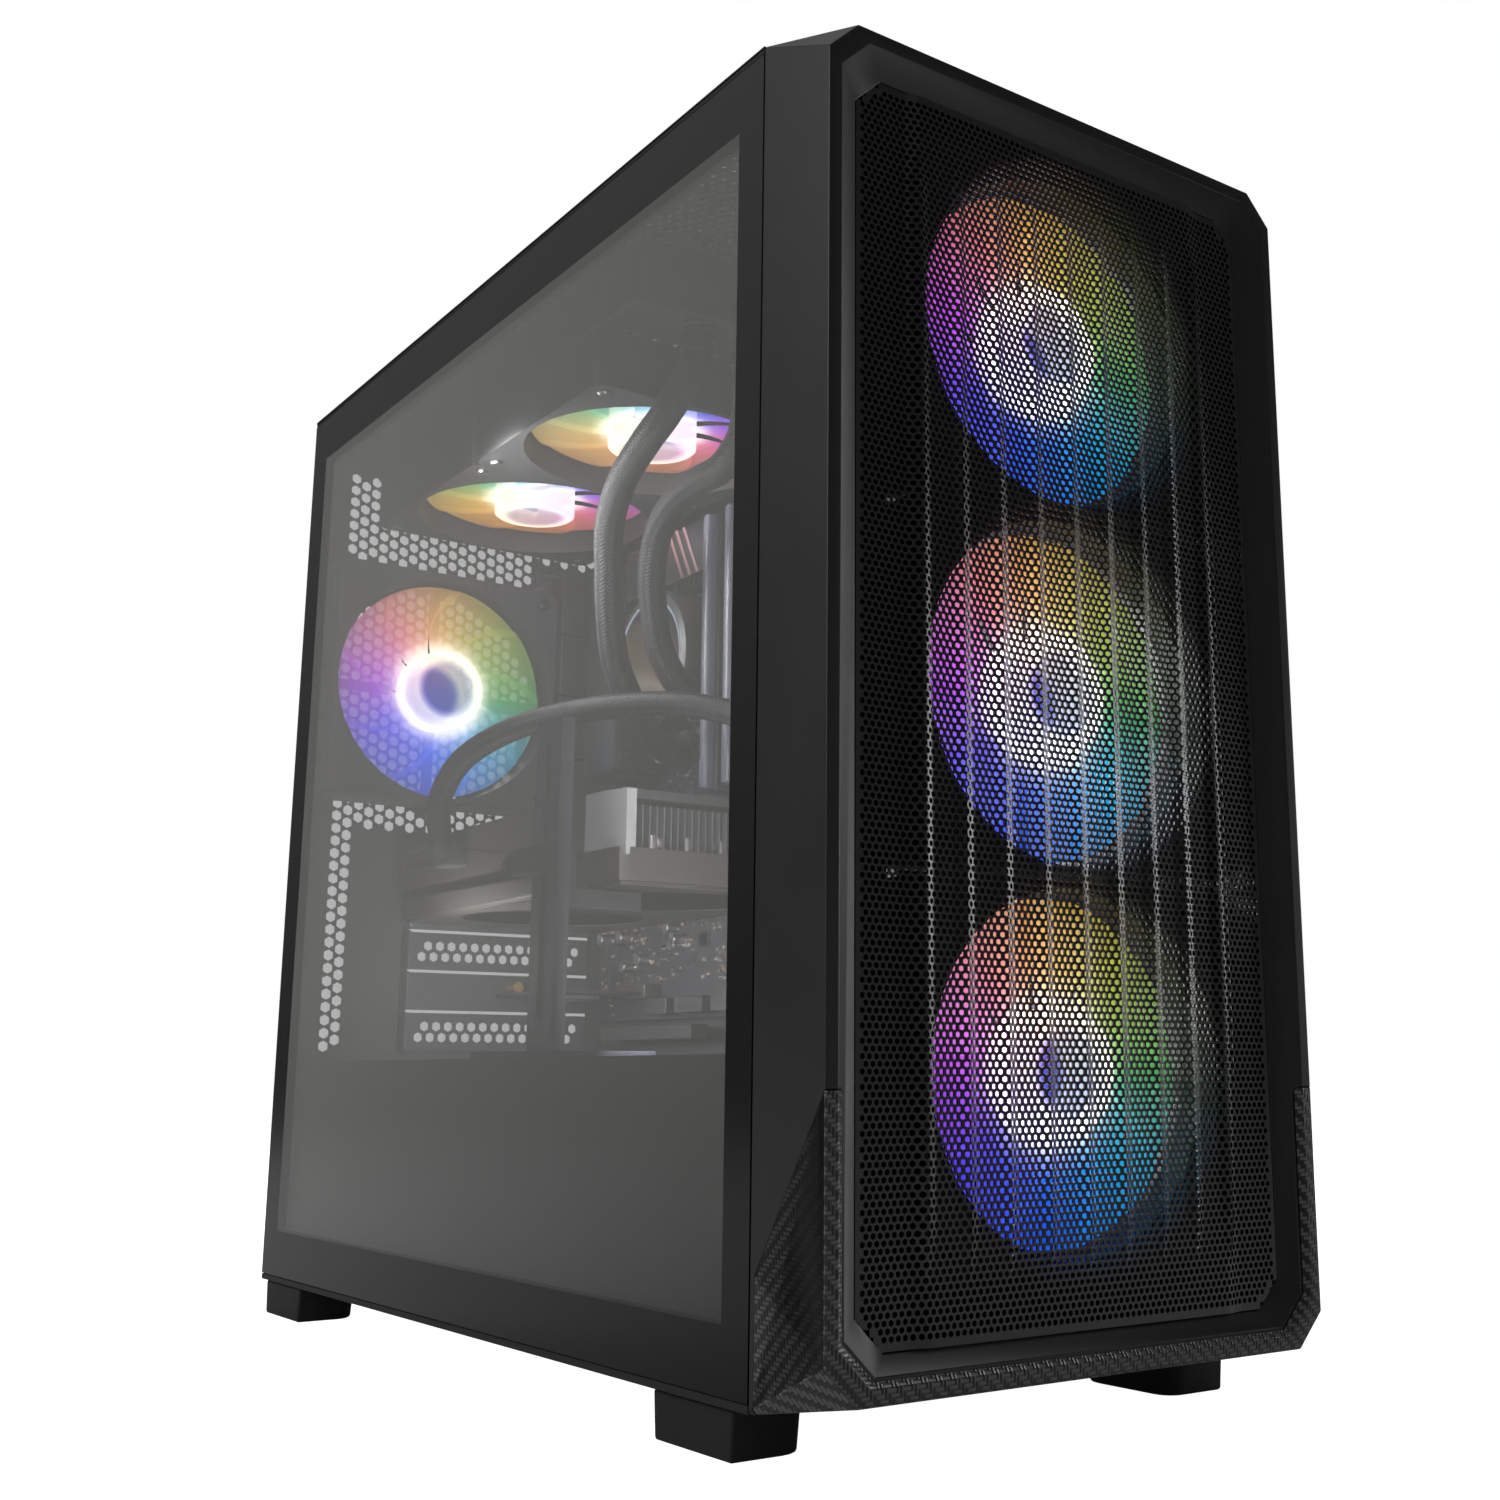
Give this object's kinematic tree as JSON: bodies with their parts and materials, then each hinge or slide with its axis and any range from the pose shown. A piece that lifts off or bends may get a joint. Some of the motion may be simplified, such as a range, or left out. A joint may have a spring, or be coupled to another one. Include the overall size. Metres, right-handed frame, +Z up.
{
  "type": "desktop computer tower",
  "caption": "Upright computer tower with a meshed front, tinted glass side, lit fans, top radiator with hoses, mainboard, cards and a power supply under a shroud.",
  "frame": {"origin": "middle of the footprint, on the surface the feet stand on", "axes": "+Z up, the meshed front faces -Y and the glass side faces -X"},
  "size_m": [0.209, 0.4634, 0.4443],
  "materials": {
    "black_steel": "satin fine-texture powder coat",
    "grey_steel": "satin powder coat",
    "mesh_steel": "satin",
    "bezel_plastic": "satin",
    "carbon_plastic": "twill-pattern film, semi-gloss",
    "foot_rubber": "satin",
    "fan_plastic": "satin",
    "blade_plastic": "frosted translucent, lit",
    "dark_plastic": "matte",
    "tinted_glass": "polished, printed border",
    "circuit": "matte",
    "fin_aluminium": "satin",
    "bracket_steel": "satin",
    "braided_tube": "braided sleeve"
  },
  "bodies": {
    "chassis": {"foot_front_left": "foot_rubber", "foot_front_right": "foot_rubber", "foot_rear_left": "foot_rubber", "foot_rear_right": "foot_rubber", "bottom_panel": "black_steel", "top_panel": "black_steel", "control_strip": "dark_plastic", "rear_panel": "black_steel", "front_wall": "black_steel", "mainboard_tray": "black_steel", "supply_shroud": "black_steel", "front_fan_bottom_frame": "fan_plastic", "front_fan_middle_frame": "fan_plastic", "front_fan_top_frame": "fan_plastic", "rear_fan_frame": "fan_plastic", "radiator_fan_front_frame": "fan_plastic", "radiator_fan_rear_frame": "fan_plastic", "radiator": "black_steel", "pump_block": "dark_plastic", "coolant_tube_supply": "braided_tube", "coolant_tube_return": "braided_tube", "mainboard": "circuit", "memory_module_front": "dark_plastic", "memory_module_rear": "dark_plastic", "card_cover": "dark_plastic", "card_heatsink": "fin_aluminium", "card_board": "circuit", "card_backplate": "black_steel", "card_bracket": "bracket_steel", "slot_cover_upper": "grey_steel", "slot_cover_lower": "grey_steel", "wireless_card": "circuit", "card_power_cable": "braided_tube", "card_support_post": "black_steel", "power_supply": "black_steel"},
    "glass_panel": {"glass_pane": "tinted_glass", "glass_frame": "black_steel"},
    "right_panel": {"right_panel": "black_steel"},
    "front_panel": {"front_bezel": "bezel_plastic", "front_mesh": "mesh_steel", "carbon_trim": "carbon_plastic"},
    "top_filter": {"top_dust_filter": "dark_plastic"},
    "bottom_filter": {"bottom_dust_filter": "dark_plastic"},
    "power_button": {"power_button": "dark_plastic"},
    "support_arm": {"card_support_arm": "dark_plastic"},
    "support_knob": {"card_support_knob": "dark_plastic"},
    "supply_rocker": {"supply_rocker": "dark_plastic"},
    "front_fan_bottom_rotor": {"front_fan_bottom_rotor": "blade_plastic"},
    "front_fan_middle_rotor": {"front_fan_middle_rotor": "blade_plastic"},
    "front_fan_top_rotor": {"front_fan_top_rotor": "blade_plastic"},
    "rear_fan_rotor": {"rear_fan_rotor": "blade_plastic"},
    "radiator_fan_front_rotor": {"radiator_fan_front_rotor": "blade_plastic"},
    "radiator_fan_rear_rotor": {"radiator_fan_rear_rotor": "blade_plastic"},
    "card_fan_front_rotor": {"card_fan_front_rotor": "dark_plastic"},
    "card_fan_rear_rotor": {"card_fan_rear_rotor": "dark_plastic"},
    "supply_fan_rotor": {"supply_fan_rotor": "dark_plastic"},
    "thumbscrew_glass_lower": {"thumbscrew_glass_lower": "black_steel"},
    "thumbscrew_glass_upper": {"thumbscrew_glass_upper": "black_steel"},
    "thumbscrew_right_lower": {"thumbscrew_right_lower": "black_steel"},
    "thumbscrew_right_upper": {"thumbscrew_right_upper": "black_steel"}
  },
  "joints": [
    {"name": "front_fan_bottom_spin", "type": "hinge", "parent": "chassis", "child": "front_fan_bottom_rotor", "pos_m": [0, -0.21075, 0.11015], "axis": [0, 1, 0], "continuous": true},
    {"name": "front_fan_middle_spin", "type": "hinge", "parent": "chassis", "child": "front_fan_middle_rotor", "pos_m": [0, -0.21075, 0.23275], "axis": [0, 1, 0], "continuous": true},
    {"name": "front_fan_top_spin", "type": "hinge", "parent": "chassis", "child": "front_fan_top_rotor", "pos_m": [0, -0.21075, 0.35535], "axis": [0, 1, 0], "continuous": true},
    {"name": "rear_fan_spin", "type": "hinge", "parent": "chassis", "child": "rear_fan_rotor", "pos_m": [-0.0368, 0.21025, 0.3045], "axis": [0, 1, 0], "continuous": true},
    {"name": "radiator_fan_front_spin", "type": "hinge", "parent": "chassis", "child": "radiator_fan_front_rotor", "pos_m": [-0.014, 0.03255, 0.4], "axis": [0, 0, 1], "continuous": true},
    {"name": "radiator_fan_rear_spin", "type": "hinge", "parent": "chassis", "child": "radiator_fan_rear_rotor", "pos_m": [-0.014, 0.15285, 0.4], "axis": [0, 0, 1], "continuous": true},
    {"name": "card_fan_front_spin", "type": "hinge", "parent": "chassis", "child": "card_fan_front_rotor", "pos_m": [-0.0015, 0.03655, 0.19], "axis": [0, 0, 1], "continuous": true},
    {"name": "card_fan_rear_spin", "type": "hinge", "parent": "chassis", "child": "card_fan_rear_rotor", "pos_m": [-0.0015, 0.14055, 0.19], "axis": [0, 0, 1], "continuous": true},
    {"name": "supply_fan_spin", "type": "hinge", "parent": "chassis", "child": "supply_fan_rotor", "pos_m": [0.0031, 0.15325, 0.026], "axis": [0, 0, 1], "continuous": true},
    {"name": "glass_panel_slide", "type": "slide", "parent": "chassis", "child": "glass_panel", "axis": [0, 1, 0], "range_m": [0, 0.012]},
    {"name": "right_panel_slide", "type": "slide", "parent": "chassis", "child": "right_panel", "axis": [0, 1, 0], "range_m": [0, 0.012]},
    {"name": "front_panel_pull", "type": "slide", "parent": "chassis", "child": "front_panel", "axis": [0, -1, 0], "range_m": [0, 0.06]},
    {"name": "top_filter_lift", "type": "slide", "parent": "chassis", "child": "top_filter", "axis": [0, 0, 1], "range_m": [0, 0.03]},
    {"name": "bottom_filter_slide", "type": "slide", "parent": "chassis", "child": "bottom_filter", "axis": [0, 1, 0], "range_m": [0, 0.165]},
    {"name": "power_button_press", "type": "slide", "parent": "chassis", "child": "power_button", "axis": [0, 0, -1], "range_m": [0, 0.001], "stiffness_N_per_m": 300, "springref_m": -0.001},
    {"name": "support_arm_slide", "type": "slide", "parent": "chassis", "child": "support_arm", "axis": [0, 0, -1], "range_m": [0, 0.055]},
    {"name": "support_knob_turn", "type": "hinge", "parent": "support_arm", "child": "support_knob", "pos_m": [-0.079, 0.01825, 0.1931], "axis": [0, 1, 0], "continuous": true},
    {"name": "supply_rocker_tilt", "type": "hinge", "parent": "chassis", "child": "supply_rocker", "pos_m": [-0.0039, 0.21825, 0.0598], "axis": [1, 0, 0], "range_deg": [-8, 8]},
    {"name": "thumbscrew_glass_lower_turn", "type": "hinge", "parent": "glass_panel", "child": "thumbscrew_glass_lower", "pos_m": [-0.0955, 0.22925, 0.0441], "axis": [0, 1, 0], "continuous": true},
    {"name": "thumbscrew_glass_upper_turn", "type": "hinge", "parent": "glass_panel", "child": "thumbscrew_glass_upper", "pos_m": [-0.0955, 0.22925, 0.4122], "axis": [0, 1, 0], "continuous": true},
    {"name": "thumbscrew_right_lower_turn", "type": "hinge", "parent": "right_panel", "child": "thumbscrew_right_lower", "pos_m": [0.0955, 0.22925, 0.0441], "axis": [0, 1, 0], "continuous": true},
    {"name": "thumbscrew_right_upper_turn", "type": "hinge", "parent": "right_panel", "child": "thumbscrew_right_upper", "pos_m": [0.0955, 0.22925, 0.4122], "axis": [0, 1, 0], "continuous": true}
  ]
}
